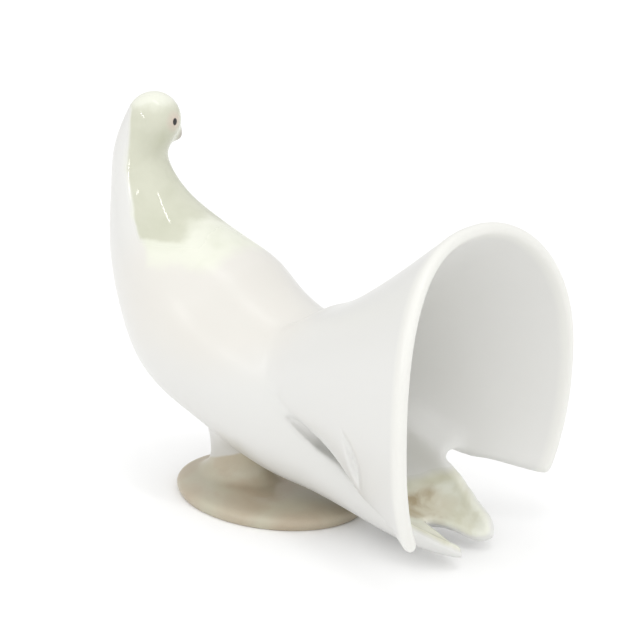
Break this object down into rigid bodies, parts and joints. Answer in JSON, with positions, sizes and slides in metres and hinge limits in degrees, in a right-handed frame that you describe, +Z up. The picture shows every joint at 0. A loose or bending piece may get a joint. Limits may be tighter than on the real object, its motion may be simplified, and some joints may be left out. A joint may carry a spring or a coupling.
{
  "type": "dove statue",
  "caption": "Porcelain dove figurine on a short stem and oval foot, head turned back, tail raised into an open fan over a forked tail point; stands on a shelf as an ornament.",
  "frame": {"origin": "centre of the oval foot's underside, on the table plane", "axes": "+Z up; the bird's breast faces -Y and its fan tail opens towards +Y; +X is the bird's left"},
  "size_m": [0.1011, 0.1639, 0.1394],
  "materials": {
    "glazed_porcelain": "glossy glazed white porcelain with pale celadon and taupe underglaze tints"
  },
  "bodies": {
    "root": {"dove_figurine": "glazed_porcelain"}
  },
  "joints": []
}
